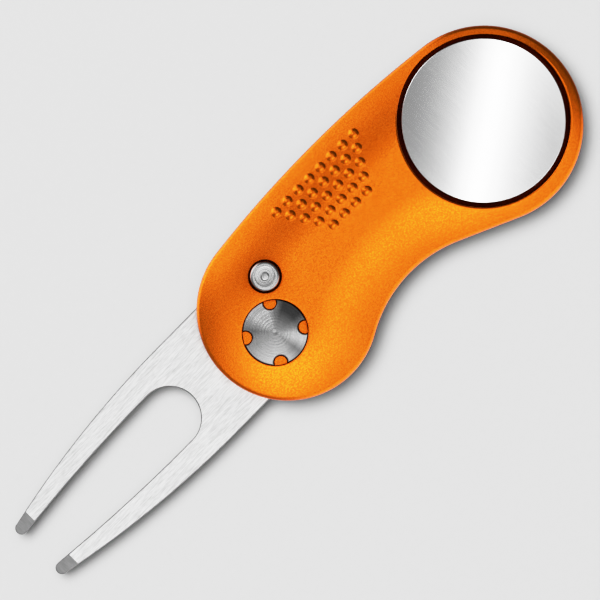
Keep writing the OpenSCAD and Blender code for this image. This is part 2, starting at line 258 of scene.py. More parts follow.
def rolled(distance, width):
    """How far an edge that is rounded over a width has dropped, at a distance from the edge."""
    reach = np.clip(1 - distance / width, 0.0, 1.0)
    return width * (1 - np.sqrt(1 - 0.96 * reach**2))


def front_z(x, y):
    """Height of the handle's front, with its raised dots and the rounded edges of its holes."""
    z = CROWN_Z + CROWN_DROP * crown(inset(x, y) / CROWN_W)
    for spot in dot_spots():
        above = 1 - (np.hypot(x - spot[0], y - spot[1]) / DOT_R) ** 2
        blended = (above + np.sqrt(above**2 + 0.006)) / 2
        z = z + DOT_RISE * np.where(above > -0.4, blended, 0.0)
    z = z - rolled(np.hypot(x - MARKER[0], y - MARKER[1]) - RECESS_R, 0.3)
    z = z - rolled(np.hypot(x, y) - CAP_BORE_R, 0.16)
    return z - rolled(np.hypot(x - BUTTON[0], y - BUTTON[1]) - BUTTON_BORE_R, 0.12)


# --- Mesh building ---


class Shape:
    """Points and faces gathered for one mesh, with the normals that curved faces need."""

    def __init__(self):
        self.points = []
        self.normals = []
        self.faces = []

    def add(self, points, normals):
        first = len(self.points)
        self.points.extend(points)
        self.normals.extend(normals)
        return first

    def strip(self, low, high, count, closed=True):
        """Quads between two rows of points. Seen with the rows running right, low is below."""
        for i in range(count if closed else count - 1):
            j = (i + 1) % count
            self.faces.append((low + i, low + j, high + j, high + i))

    def finish(self, name, body, slot, material, *nodes):
        mesh = bpy.data.meshes.new(name)
        place = [(x / 1000 + PIVOT_X, y / 1000 + PIVOT_Y, z / 1000) for x, y, z in self.points]
        mesh.from_pydata(place, [], self.faces)
        mesh.shade_smooth()
        mesh.normals_split_custom_set_from_vertices([Vector(n).normalized() for n in self.normals])
        mesh.validate(clean_customdata=False)
        piece = bpy.data.objects.new(name, mesh)
        bpy.context.scene.collection.objects.link(piece)
        mesh.materials.append(material)
        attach(piece, body)
        if nodes:
            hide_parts(*nodes)
        return piece


def in_loop(x, y, loop):
    inside = False
    for (ax, ay), (bx, by) in zip(loop, loop[1:] + loop[:1]):
        if (ay > y) != (by > y) and x < ax + (y - ay) * (bx - ax) / (by - ay):
            inside = not inside
    return inside


def patch(shape, loops, inner, height, slope=0.02, flip=False, low_x=-60, high_x=60):
    """A triangulated sheet inside the first loop and outside the others. height gives z from x and y."""
    flat = []
    edges = []
    for loop in loops:
        first = len(flat)
        flat.extend(loop)
        for i in range(len(loop)):
            edges.append((first + i, first + (i + 1) % len(loop)))
    flat.extend(inner)
    result = geometry.delaunay_2d_cdt([Vector(p) for p in flat], edges, [], 0, 1e-5)
    xy = np.array([(v[0], v[1]) for v in result[0]])
    x = xy[:, 0]
    y = xy[:, 1]
    z = height(x, y)
    gx = (height(x + slope, y) - height(x - slope, y)) / (2 * slope)
    gy = (height(x, y + slope) - height(x, y - slope)) / (2 * slope)
    side = -1 if flip else 1
    normals = [(-a * side, -b * side, side) for a, b in zip(gx, gy)]
    first = shape.add(list(zip(x, y, z)), normals)
    for face in result[2]:
        cx = sum(x[i] for i in face) / 3
        cy = sum(y[i] for i in face) / 3
        if not low_x < cx < high_x or not in_loop(cx, cy, loops[0]):
            continue
        if not any(in_loop(cx, cy, hole) for hole in loops[1:]):
            corners = [first + i for i in face]
            shape.faces.append(corners[::-1] if flip else corners)


def flat_patch(shape, loops, z, up=True):
    patch(shape, loops, [], lambda x, y: np.full(x.shape, z), flip=not up)


def wall(shape, loop, normals, low, high):
    """An upright wall along a loop. low and high are heights, or a height for each point."""
    count = len(loop)
    lows = low if hasattr(low, "__len__") else [low] * count
    highs = high if hasattr(high, "__len__") else [high] * count
    sides = [(n[0], n[1], 0) for n in normals]
    a = shape.add([(p[0], p[1], z) for p, z in zip(loop, lows)], sides)
    b = shape.add([(p[0], p[1], z) for p, z in zip(loop, highs)], sides)
    shape.strip(a, b, count)


def hole_wall(shape, centre, radius, steps, low, high):
    """The wall of a round hole: its loop runs clockwise, so that it faces the axis."""
    loop = circle(centre, radius, steps)[::-1]
    normals = [((centre[0] - p[0]), (centre[1] - p[1])) for p in loop]
    if callable(high):
        high = high(np.array([p[0] for p in loop]), np.array([p[1] for p in loop]))
    wall(shape, loop, normals, low, high)


def ring_floor(shape, centre, outer, inner, z, steps=96, up=True):
    normal = (0, 0, 1 if up else -1)
    a = shape.add([(p[0], p[1], z) for p in circle(centre, outer, steps)], [normal] * steps)
    if inner <= 0:
        face = list(range(a, a + steps))
        shape.faces.append(face if up else face[::-1])
        return
    b = shape.add([(p[0], p[1], z) for p in circle(centre, inner, steps)], [normal] * steps)
    if up:
        shape.strip(a, b, steps)
    else:
        shape.strip(b, a, steps)


def lathe(shape, centre, parts, steps=128):
    """Turns each profile part round a centre. A profile runs up the outside and in over the top."""
    for part in parts:
        rows = []
        for k, (r, z) in enumerate(part):
            before = part[max(k - 1, 0)]
            after = part[min(k + 1, len(part) - 1)]
            run = (after[0] - before[0], after[1] - before[1])
            normal = (run[1], -run[0])
            points = [(p[0], p[1], z) for p in circle(centre, max(r, 1e-4), steps)]
            sides = [(n[0] * normal[0], n[1] * normal[0], normal[1]) for n in circle((0, 0), 1, steps)]
            rows.append(shape.add(points, sides))
        for low, high in zip(rows, rows[1:]):
            shape.strip(low, high, steps)


def slab(shape, loop, low, high, edge, round_low=True):
    """A plate with rounded edges along a closed anticlockwise loop. low and high give z from x and y."""
    count = len(loop)
    normals = []
    for i in range(count):
        a = loop[i - 1]
        b = loop[(i + 1) % count]
        size = math.dist(a, b)
        normals.append(((b[1] - a[1]) / size, (a[0] - b[0]) / size))
    rows = []
    turns = (0, 22.5, 45, 67.5, 90)
    for side in (-1, 1):
        for t in turns if side > 0 else turns[::-1]:
            c, s = along(t)
            e = edge if side > 0 or round_low else 0.0
            points = []
            for p, n in zip(loop, normals):
                x = p[0] - n[0] * e * (1 - c)
                y = p[1] - n[1] * e * (1 - c)
                z = (high if side > 0 else low)(x, y) - side * e * (1 - s)
                points.append((x, y, z))
            rows.append(shape.add(points, [(n[0] * c, n[1] * c, side * s) for n in normals]))
    for a, b in zip(rows, rows[1:]):
        shape.strip(a, b, count)
    return [(p[0] - n[0] * edge, p[1] - n[1] * edge) for p, n in zip(loop, normals)]


# --- Materials ---


def set_stops(band, stops):
    """Fills a colour ramp: each stop is a position and a grey level or a colour."""
    band.elements[0].position = stops[0][0]
    band.elements[1].position = stops[-1][0]
    for position, _ in stops[1:-1]:
        band.elements.new(position)
    for element, (_, level) in zip(band.elements, stops):
        element.color = (*level, 1) if hasattr(level, "__len__") else (level, level, level, 1)


class Paint:
    """A material's node tree, with short calls for the nodes that the finishes share."""

    def __init__(self, name):
        self.material = bpy.data.materials.new(name)
        self.material.use_nodes = True
        self.tree = self.material.node_tree
        self.shader = self.tree.nodes["Principled BSDF"]
        coordinates = self.tree.nodes.new("ShaderNodeTexCoord")
        self.place = coordinates.outputs["Object"]

    def link(self, a, b):
        self.tree.links.new(a, b)

    def shifted(self, x, y):
        """Object coordinates measured from a point in the plan, in millimetres from the pivot."""
        node = self.tree.nodes.new("ShaderNodeVectorMath")
        node.operation = "SUBTRACT"
        self.link(self.place, node.inputs[0])
        node.inputs[1].default_value = (x / 1000 + PIVOT_X, y / 1000 + PIVOT_Y, 0)
        return node.outputs[0]

    def stretched(self, vector, x, y, z):
        node = self.tree.nodes.new("ShaderNodeVectorMath")
        node.operation = "MULTIPLY"
        self.link(vector, node.inputs[0])
        node.inputs[1].default_value = (x, y, z)
        return node.outputs[0]

    def noise(self, scale, detail=2.0, vector=None, roughness=0.5):
        node = self.tree.nodes.new("ShaderNodeTexNoise")
        node.inputs["Scale"].default_value = scale
        node.inputs["Detail"].default_value = detail
        node.inputs["Roughness"].default_value = roughness
        self.link(vector or self.place, node.inputs["Vector"])
        return node.outputs["Fac"]

    def ramp(self, value, stops):
        node = self.tree.nodes.new("ShaderNodeValToRGB")
        set_stops(node.color_ramp, stops)
        self.link(value, node.inputs["Fac"])
        return node.outputs["Color"]

    def span(self, value, low, high, from_low=0.0, from_high=1.0):
        node = self.tree.nodes.new("ShaderNodeMapRange")
        node.inputs["From Min"].default_value = from_low
        node.inputs["From Max"].default_value = from_high
        node.inputs["To Min"].default_value = low
        node.inputs["To Max"].default_value = high
        self.link(value, node.inputs["Value"])
        return node.outputs["Result"]

    def math(self, kind, a, b):
        node = self.tree.nodes.new("ShaderNodeMath")
        node.operation = kind
        for socket, value in zip(node.inputs, (a, b)):
            if isinstance(value, (int, float)):
                socket.default_value = value
            else:
                self.link(value, socket)
        return node.outputs[0]

    def mix(self, kind, factor, a, b):
        node = self.tree.nodes.new("ShaderNodeMix")
        node.data_type = "RGBA"
        node.blend_type = kind
        for socket, value in ((node.inputs[0], factor), (node.inputs[6], a), (node.inputs[7], b)):
            if isinstance(value, (int, float)):
                socket.default_value = value
            elif isinstance(value, tuple):
                socket.default_value = (*value, 1)
            else:
                self.link(value, socket)
        return node.outputs[2]

    def bump(self, height, strength, distance, normal=None):
        node = self.tree.nodes.new("ShaderNodeBump")
        node.inputs["Strength"].default_value = strength
        node.inputs["Distance"].default_value = distance
        self.link(height, node.inputs["Height"])
        if normal:
            self.link(normal, node.inputs["Normal"])
        return node.outputs["Normal"]

    def radius(self, x, y):
        """Distance from an upright axis."""
        node = self.tree.nodes.new("ShaderNodeVectorMath")
        node.operation = "LENGTH"
        self.link(self.stretched(self.shifted(x, y), 1, 1, 0), node.inputs[0])
        return node.outputs["Value"]

    def set(self, **values):
        names = {"color": "Base Color", "roughness": "Roughness", "metallic": "Metallic", "normal": "Normal",
                 "anisotropic": "Anisotropic", "rotation": "Anisotropic Rotation", "tangent": "Tangent"}
        for key, value in values.items():
            socket = self.shader.inputs[names[key]]
            if isinstance(value, (int, float)):
                socket.default_value = value
            else:
                self.link(value, socket)
        return self.material


def anodised():
    p = Paint("anodised_orange")
    grain = p.noise(4300, 3.0, roughness=0.65)
    fine = p.noise(9500, 1.0)
    cloud = p.noise(140, 3.0)
    color = p.ramp(grain, [
        (0.38, (0.79, 0.13, 0.005)), (0.5, (0.95, 0.163, 0.0068)), (0.62, (1.0, 0.2, 0.0095))])
    color = p.mix("MULTIPLY", 1.0, color, p.ramp(cloud, [(0.3, (0.95, 0.92, 0.9)), (0.7, (1.0, 1.0, 1.0))]))
    # Painted shade: the colour is darkened towards black where ambient occlusion finds other surfaces within
    # 2.8 mm, in the marker's groove, the bores, round the dots and close to the floor.
    painted_shade_ao = p.tree.nodes.new("ShaderNodeAmbientOcclusion")
    painted_shade_ao.samples = 8
    painted_shade_ao.inputs["Distance"].default_value = 0.0028
    shade = p.ramp(painted_shade_ao.outputs["AO"], [
        (0.0, (0.0, 0.0, 0.0)), (0.3, (0.02, 0.008, 0.006)),
        (0.55, (0.3, 0.13, 0.1)), (0.96, (1.0, 1.0, 1.0))])
    color = p.mix("MULTIPLY", 1.0, color, shade)
    normal = p.bump(grain, 0.3, 0.00005)
    normal = p.bump(fine, 0.4, 0.00002, normal)
    return p.set(color=color, metallic=1.0, roughness=p.span(grain, 0.28, 0.2), normal=normal)


def brushed():
    p = Paint("brushed_steel")
    long_marks = p.noise(1.0, 3.0, p.stretched(p.place, 240, 5200, 900), 0.6)
    short_marks = p.noise(1.0, 2.0, p.stretched(p.place, 900, 7600, 900), 0.55)
    marks = p.math("MULTIPLY", p.math("ADD", long_marks, short_marks), 0.5)
    color = p.ramp(marks, [(0.36, 0.44), (0.5, 0.63), (0.62, 0.78)])
    cloud = p.noise(240, 2.0)
    rough = p.math("ADD", p.span(marks, 0.42, 0.26), p.span(cloud, -0.03, 0.03))
    normal = p.bump(marks, 0.35, 0.00002)
    return p.set(color=color, metallic=1.0, roughness=rough, normal=normal)


def ground(name, dark, light):
    """Steel as the grinding wheel leaves it: fine marks across the prongs, in a dark tone that is painted
    shade on the tips' bevels and the fork's rounded edges.
    """
    p = Paint(name)
    marks = p.noise(1.0, 3.0, p.stretched(p.place, 5200, 900, 900), 0.6)
    color = p.ramp(marks, [(0.32, dark), (0.68, light)])
    normal = p.bump(marks, 0.3, 0.00002)
    return p.set(color=color, metallic=1.0, roughness=p.span(marks, 0.5, 0.35), normal=normal)


def turned(name, x, y, dark, light, pitch, painted_light_fans=None):
    """Steel faced on a lathe: fine rings round an axis. When given, fans paint paler and darker sectors that
    spread from the axis into the colour: painted highlights and painted shade in place of the face's
    reflections.
    """
    p = Paint(name)
    r = p.radius(x, y)
    rings = p.math("SINE", p.math("MULTIPLY", r, 2 * math.pi / pitch), 0.0)
    wobble = p.noise(1.0, 2.0, p.stretched(p.place, 900, 900, 900))
    lines = p.tree.nodes.new("ShaderNodeCombineXYZ")
    p.link(p.math("MULTIPLY", r, 16000), lines.inputs[0])
    scratch = p.noise(1.0, 2.0, lines.outputs[0], 0.65)
    height = p.math("ADD", p.math("MULTIPLY", rings, 0.12), p.math("MULTIPLY", scratch, 1.2))
    color = p.ramp(scratch, [(0.3, dark), (0.7, light)])
    if painted_light_fans:
        # Painted highlight and shade: colour set by the angle round the axis, fading to an even grey near
        # the middle.
        angle = p.tree.nodes.new("ShaderNodeTexGradient")
        angle.gradient_type = "RADIAL"
        p.link(p.shifted(x, y), angle.inputs["Vector"])
        painted_fan = p.ramp(angle.outputs["Fac"], painted_light_fans)
        painted_fan = p.mix("MIX", p.span(r, 0.05, 1.0, 0.0004, 0.0034), (0.6, 0.6, 0.6), painted_fan)
        color = p.mix("MULTIPLY", 1.0, color, painted_fan)
    tangent = p.tree.nodes.new("ShaderNodeTangent")
    tangent.direction_type = "RADIAL"
    tangent.axis = "Z"
    rough = p.math("ADD", p.span(scratch, 0.19, 0.12), p.span(wobble, -0.02, 0.02))
    return p.set(color=color, metallic=1.0, roughness=rough, normal=p.bump(height, 0.6, 0.00002),
                 anisotropic=0.9, rotation=0, tangent=tangent.outputs[0])


def polished():
    p = Paint("polished_marker")
    haze = p.noise(1.0, 3.0, p.stretched(p.place, 3000, 260, 260), 0.6)
    smear = p.noise(90, 3.0)
    color = p.ramp(haze, [(0.3, (0.89, 0.89, 0.895)), (0.7, (0.92, 0.92, 0.92))])
    rough = p.math("ADD", p.span(haze, 0.03, 0.05), p.span(smear, 0.0, 0.02))
    return p.set(color=color, metallic=1.0, roughness=rough, normal=p.bump(haze, 0.005, 0.000002))


def drawn(name, dark, light, rough):
    """Drawn or rolled metal with small marks, for the inner pieces."""
    p = Paint(name)
    marks = p.noise(2600, 3.0, roughness=0.6)
    cloud = p.noise(400, 2.0)
    color = p.ramp(marks, [(0.3, dark), (0.7, light)])
    color = p.mix("MULTIPLY", 1.0, color, p.ramp(cloud, [(0.3, 0.85), (0.7, 1.0)]))
    return p.set(color=color, metallic=1.0, roughness=p.span(marks, rough + 0.1, rough - 0.05),
                 normal=p.bump(marks, 0.4, 0.00002))


orange = anodised()
steel = brushed()
# Painted shade: the tips' bevels and the fork's edges get far darker steel than the plate, with real
# grinding marks in it.
tip_steel_painted_shade = ground("ground_tip_painted_shade", 0.21, 0.26)
edge_steel_painted_shade = ground("cut_edge_painted_shade", 0.16, 0.24)
# The stops paint the cap's bright and dark reflection sectors into its colour, with levels above 1 for the
# highlights.
cap_steel = turned("turned_cap", 0, 0, 0.3, 0.46, 0.00045, [
    (0.0, 0.58), (0.125, 0.64), (0.21, 0.53), (0.27, 0.28), (0.33, 0.77), (0.375, 0.8),
    (0.42, 0.35), (0.48, 0.1), (0.58, 0.12), (0.63, 0.56), (0.68, 1.65), (0.77, 1.7),
    (0.83, 0.8), (0.86, 0.36), (0.92, 0.5), (1.0, 0.58)])
button_steel = turned("turned_button", BUTTON[0], BUTTON[1], 0.25, 0.43, 0.0003)
mirror_steel = polished()
bronze = drawn("rolled_bronze", (0.45, 0.26, 0.12), (0.66, 0.42, 0.22), 0.4)
spring_steel = drawn("spring_wire", (0.2, 0.2, 0.21), (0.42, 0.42, 0.43), 0.35)
screw_steel = drawn("screw_steel", (0.36, 0.36, 0.36), (0.6, 0.6, 0.6), 0.3)
nickel = drawn("nickel_plate", (0.5, 0.49, 0.47), (0.72, 0.7, 0.68), 0.22)


# --- Handle ---


def stack(shape, rows):
    """The handle's side: rows of (inset, z, how far the normal tips up), from the lowest."""
    firsts = []
    for d, z, tip in rows:
        points, normals = outline(d)
        c, s = along(tip)
        leaning = [(n[0] * c, n[1] * c, s) for n in normals]
        firsts.append(shape.add([(x, y, z) for x, y in points], leaning))
    count = len(outline(0)[0])
    for low, high in zip(firsts, firsts[1:]):
        shape.strip(low, high, count)


def crown_tip(d):
    """Angle of the front's normal above level, at d in from the edge."""
    return 90 - math.degrees(math.atan(2 * CROWN_DROP / CROWN_W * (1 - d / CROWN_W)))


def front_shell():
    shape = Shape()
    slope = 2 * CROWN_DROP / CROWN_W
    middle = CROWN_Z + slope * EDGE_ROUND - EDGE_ROUND * math.hypot(1, slope)
    rows = [(0, CEILING_Z, 0)]
    for tip in np.linspace(0, crown_tip(0), 13):
        c, n = along(tip)
        rows.append((EDGE_ROUND * (1 - c), middle + EDGE_ROUND * n, tip))
    for d in (0.7, 0.85, 1.05, 1.25):
        rows.append((d, CROWN_Z + CROWN_DROP * crown(d / CROWN_W), crown_tip(d)))
    stack(shape, rows)
    edge = rows[-1][0]
    loops = [outline(edge)[0]]
    loops.append(circle(MARKER, RECESS_R, 180))
    loops.append(circle((0, 0), CAP_BORE_R, 96))
    loops.append(circle(BUTTON, BUTTON_BORE_R, 64))
    inner = []
    for step in (0.04, 0.1, 0.18, 0.3, 0.42):
        inner += circle(MARKER, RECESS_R + step, 180)
    for step in (0.03, 0.08, 0.16, 0.35):
        inner += circle((0, 0), CAP_BORE_R + step, 96)
    for step in (0.02, 0.06, 0.12, 0.3):
        inner += circle(BUTTON, BUTTON_BORE_R + step, 64)
    dot_rings = ((0.3, 10), (0.55, 14), (0.78, 20), (0.93, 24), (1.0, 26), (1.06, 26), (1.13, 26))
    for spot in dot_spots():
        inner.append(spot)
        for share, steps in dot_rings:
            inner += circle(spot, DOT_R * share, steps)
    features = [(MARKER, RECESS_R + 0.55), ((0, 0), CAP_BORE_R + 0.5), (BUTTON, BUTTON_BORE_R + 0.5)]
    features += [(spot, DOT_R * 1.13 + 0.12) for spot in dot_spots()]
    for d, every in ((1.5, 1), (1.9, 1), (2.5, 2), (3.3, 2)):
        inner += [p for p in outline(d)[0][::every] if all(math.dist(p, c) > r for c, r in features)]
    pitch = 0.75
    for j in range(-24, 24):
        for i in range(-16, 80):
            p = ((i + 0.5 * (j % 2)) * pitch, j * pitch * 0.866)
            if float(inset(np.array([p[0]]), np.array([p[1]]))[0]) < 3.7:
                continue
            if all(math.dist(p, c) > r for c, r in features):
                inner.append(p)

    inner = [p for p in inner if in_loop(*p, OUTLINE_LOOP)]
    patch(shape, loops, inner, front_z)
    hole_wall(shape, MARKER, RECESS_R, 180, GROOVE_Z, front_z)
    ring_floor(shape, MARKER, RECESS_R, SEAT_R, GROOVE_Z, 180)
    seat = circle(MARKER, SEAT_R, 180)
    wall(shape, seat, [(p[0] - MARKER[0], p[1] - MARKER[1]) for p in seat], GROOVE_Z, RECESS_Z)
    ring_floor(shape, MARKER, SEAT_R, POCKET_R, RECESS_Z, 120)
    hole_wall(shape, MARKER, POCKET_R, 90, POCKET_Z - 0.1, RECESS_Z)
    ring_floor(shape, MARKER, POCKET_R, 0, POCKET_Z - 0.1, 90)
    hole_wall(shape, (0, 0), CAP_BORE_R, 96, CAP_Z, front_z)
    ring_floor(shape, (0, 0), CAP_BORE_R, CHAMBER_R, CAP_Z, 96)
    hole_wall(shape, BUTTON, BUTTON_BORE_R, 64, BUTTON_SEAT_Z, front_z)
    ring_floor(shape, BUTTON, BUTTON_BORE_R, PIN_BORE_R, BUTTON_SEAT_Z, 64)
    hole_wall(shape, BUTTON, PIN_BORE_R, 64, CEILING_Z, BUTTON_SEAT_Z)
    hole_wall(shape, (0, 0), CHAMBER_R, 96, RELIEF_Z, CAP_Z)
    ring_floor(shape, (0, 0), RELIEF_R, CHAMBER_R, RELIEF_Z, 96, up=False)
    hole_wall(shape, (0, 0), RELIEF_R, 96, CEILING_Z, RELIEF_Z)
    holes = [circle((0, 0), RELIEF_R, 96), circle(BUTTON, PIN_BORE_R, 64)]
    flat_patch(shape, [OUTLINE_LOOP] + holes, CEILING_Z, up=False)
    piece = shape.finish("front_shell_body", "handle", "handle", orange, "front_shell")
    lugs = Shape()
    for i in range(4):
        turn = LUG_TURN + 90 * i
        c, s = along(turn)
        centre = (LUG_ORBIT * c, LUG_ORBIT * s)
        loop = arc(centre, LUG_R, turn + 64, turn + 296, 26) + circle(centre, LUG_R, 1, turn + 296)
        loop = slab(lugs, loop, lambda x, y: CAP_Z, lambda x, y: LUG_TOP, CAP_EDGE, round_low=False)
        flat_patch(lugs, [loop], LUG_TOP)
    lugs.finish("cap_lugs", "handle", "handle", orange)
    return piece


OUTLINE_LOOP = outline(0)[0]


def back_shell():
    shape = Shape()
    rows = []
    for a in range(90, -1, -10):
        c, s = along(a)
        rows.append((BACK_ROUND * (1 - c), BACK_ROUND * (1 - s), -a))
    rows.append((0, FLOOR_Z, 0))
    stack(shape, rows)
    bores = ((BUTTON, PIN_POCKET_R, FLOOR_Z - BUTTON_TRAVEL - 0.3), ((0, 0), POST_BORE_R, POST_FOOT_Z))
    flat_patch(shape, [OUTLINE_LOOP] + [circle(centre, r, 48) for centre, r, _ in bores], FLOOR_Z)
    for centre, r, bottom in bores:
        hole_wall(shape, centre, r, 48, bottom, FLOOR_Z)
        ring_floor(shape, centre, r, 0, bottom, 48)
    holes = [((0, 0), *PIVOT_COUNTERBORE)] + [(spot, *SCREW_COUNTERBORE) for spot in SCREWS]

    def back_z(x, y):
        z = np.zeros(x.shape)
        for centre, r, _ in holes:
            z = z + rolled(np.hypot(x - centre[0], y - centre[1]) - r, 0.15)
        return z

    loops = [outline(BACK_ROUND)[0]]
    inner = []
    for centre, r, depth in holes:
        loops.append(circle(centre, r, 64))
        for step in (0.03, 0.08, 0.15, 0.3):
            inner += circle(centre, r + step, 64)
        hole_wall_down(shape, centre, r, depth)

    patch(shape, loops, inner, back_z, flip=True)
    spine_wall(shape)
    return shape.finish("back_shell_body", "handle", "handle", orange, "back_shell")


def hole_wall_down(shape, centre, r, depth):
    """A counterbore that opens downwards."""
    loop = circle(centre, r, 64)[::-1]
    normals = [(centre[0] - p[0], centre[1] - p[1]) for p in loop]
    wall(shape, loop, normals, 0.12, depth)
    ring_floor(shape, centre, r, 0, depth, 64, up=False)


def line_circle(a, b, radius):
    """Where the line from a to b leaves a circle about the pivot."""
    dx = b[0] - a[0]
    dy = b[1] - a[1]
    qa = dx * dx + dy * dy
    qb = a[0] * dx + a[1] * dy
    qc = a[0] ** 2 + a[1] ** 2 - radius**2
    t = (-qb + math.sqrt(qb * qb - qa * qc)) / qa
    return a[0] + dx * t, a[1] + dy * t


def spine_wall(shape):
    """The wall between the shells: the handle's outline from head to tail, and the slot's edge."""
    slot_r = 48.3
    ring_r = ROOT_R + 0.3
    c, s = along(10)
    folded_edge = ((7.911, 6.6), (16, 6.6), (30, 5.9), (40, 4.75), (52.3, 2.7))
    folded = [(x * c - y * s, x * s + y * c) for x, y in folded_edge]
    outer = [p for p in OUTLINE_LOOP if math.dist(p, (0, 0)) > slot_r or (p[1] > 11.05 and p[0] > -5.1)]
    start = 0
    for i in range(len(outer)):
        if math.dist(outer[i], outer[i - 1]) > 5:
            start = i
    outer = outer[start:] + outer[:start]
    end = line_circle(folded[3], folded[4], slot_r)
    inner = [(-3.2, 11.05)]
    inner += arc((0, 0), ring_r, 106.15, 61.5, 20)
    inner += arc(BUTTON, 2.15, 105.0, 29.4, 10)
    inner += folded[:4]
    top = math.degrees(math.atan2(end[1], end[0]))
    low = math.degrees(math.atan2(outer[0][1], outer[0][0]))
    inner += arc((0, 0), slot_r, top, low + 0.3, 30)
    loop = outer + inner
    sides = []
    for i in range(len(loop)):
        a = loop[i]
        b = loop[(i + 1) % len(loop)]
        size = max(math.dist(a, b), 1e-6)
        sides.append(((b[1] - a[1]) / size, (a[0] - b[0]) / size))
    for i in range(len(loop)):
        a = loop[i]
        b = loop[(i + 1) % len(loop)]
        na = smoothed(sides[i], sides[i - 1])
        nb = smoothed(sides[i], sides[(i + 1) % len(loop)])
        corners = [(*a, FLOOR_Z), (*b, FLOOR_Z), (*b, CEILING_Z), (*a, CEILING_Z)]
        first = shape.add(corners, [na, nb, nb, na])
        shape.faces.append((first, first + 1, first + 2, first + 3))


def smoothed(side, neighbour):
    """A wall's normal at its end: shared with its neighbour, except at a sharp corner."""
    if side[0] * neighbour[0] + side[1] * neighbour[1] < 0.8:
        return side[0], side[1], 0
    return side[0] + neighbour[0], side[1] + neighbour[1], 0


# --- Fork ---


def outer_y(x):
    return FORK_HALF - max(0.0, TAPER_X - x) ** 2 / (2 * OUTER_EDGE_R)


def inner_y(x):
    return GAP_HALF - max(0.0, GAP_X - x) ** 2 / (2 * INNER_EDGE_R)


def fork_loop():
    """Anticlockwise plan of the fork: out along the upper prong, round the gap and back to the tang."""
    end = -46.6
    outside = [(x, outer_y(x)) for x in np.linspace(TAPER_X, end, 41).tolist()]
    near = -46.4
    inside = [(x, inner_y(x)) for x in np.linspace(near, GAP_X, 35).tolist()]
    tip = arc(TIP, TIP_R, 102, 262, 18)
    upper = [(ROOT_X, FORK_HALF), (-8.75, FORK_HALF)] + outside + tip + inside
    lower = [(x, -y) for x, y in upper[1:]][::-1]
    bend = arc((GAP_X, 0), GAP_HALF, 90, -90, 40)[1:]
    loop = [(x, y + FORK_MID) for x, y in upper + bend + lower]
    folded = LOCK_A + 360 - FOLD_A
    c, s = along(folded)
    loop += arc((LOCK_ORBIT * c, LOCK_ORBIT * s), LOCK_R, folded - 32, folded - 180, 12)
    loop += arc((0, 0), TANG_R, folded, LOCK_A + 360, 46)
    loop += arc(BUTTON, LOCK_R, LOCK_A + 180, LOCK_A + 65, 12)
    loop += arc((0, 0), ROOT_R, LOCK_A + 10, LOCK_A + 51.5, 16)
    return loop


def fork():
    shape = Shape()
    rim = Shape()
    bevel = BEVEL_DROP / (TIP_X - BEVEL_X)

    def top(x, y):
        return FORK_TOP - np.clip(bevel * (x - BEVEL_X), 0.0, BEVEL_DROP)

    def low(x, y):
        return FORK_LOW + np.clip(bevel * (x - BEVEL_X), 0.0, BEVEL_DROP)

    loop = slab(rim, fork_loop(), low, top, FORK_EDGE)
    # The rim's dark steel is painted shade: it draws the fork's grey outline.
    rim.finish("fork_edge", "fork", "fork_steel", edge_steel_painted_shade)
    lines = []
    for side in (1, -1):
        for share in np.linspace(0.03, 0.97, 9):
            x = BEVEL_X
            y = FORK_MID + side * (inner_y(x) + 0.12 + (outer_y(x) - inner_y(x) - 0.24) * share)
            lines.append((x, y))

    bore = circle((0, 0), POST_BORE_R, 48)
    for flip, height in ((False, top), (True, low)):
        patch(shape, [loop, bore], lines, height, flip=flip, low_x=BEVEL_X)
    body = shape.finish("fork_plate", "fork", "fork_steel", steel, "fork")
    tips = Shape()
    for flip, height in ((False, top), (True, low)):
        patch(tips, [loop], lines, height, slope=1e-4, flip=flip, high_x=BEVEL_X)
    tilt = math.atan(BEVEL_DROP / (BEVEL_X - TIP_X))
    tips.normals = [(-math.sin(tilt), 0, math.copysign(math.cos(tilt), n[2])) for n in tips.normals]
    tips.finish("fork_tips", "fork", "fork_steel", tip_steel_painted_shade)
    return body


# --- Pivot cap, button, marker and the pieces inside ---


def notched_loop(radius):
    """The pivot cap's outline: a circle with four half-round notches."""
    reach = NOTCH_R
    half = math.degrees(math.acos((radius**2 + LUG_ORBIT**2 - reach**2) / (2 * radius * LUG_ORBIT)))
    loop = []
    for i in range(4):
        turn = LUG_TURN + 90 * i
        c, s = along(turn)
        centre = (LUG_ORBIT * c, LUG_ORBIT * s)
        a, b = along(turn - half)
        first = math.degrees(math.atan2(radius * b - centre[1], radius * a - centre[0]))
        a, b = along(turn + half)
        last = math.degrees(math.atan2(radius * b - centre[1], radius * a - centre[0]))
        first = (first - turn + 180) % 360 - 180
        last = (last - turn + 180) % 360 - 180
        loop += arc(centre, reach, turn + first, turn + last - 360, 22)
        loop += arc((0, 0), radius, turn + half, turn + 90 - half, 26)
    return loop


def pivot_cap():
    shape = Shape()

    def top(x, y):
        r = np.hypot(x, y)
        return CAP_TOP - CAP_DOME * (r / CAP_R) ** 2 - 0.04 * np.clip(1 - r / 0.4, 0.0, 1.0)

    loop = slab(shape, notched_loop(CAP_R), lambda x, y: CAP_Z, top, CAP_EDGE)
    inner = []
    for k in range(1, 44):
        r = k * 0.105
        inner += [p for p in circle((0, 0), r, 24 + 2 * k) if in_loop(*p, loop) and spaced(p, loop, 0.08)]
    patch(shape, [loop], inner + [(0, 0)], top)
    lathe(shape, (0, 0), [[(POST_R, POST_FOOT_Z), (POST_R, CAP_Z)]], 48)
    return shape.finish("pivot_cap_disc", "handle", "turned_steel", cap_steel, "pivot_cap")


def spaced(p, loop, gap):
    return all(math.dist(p, q) > gap for q in loop)


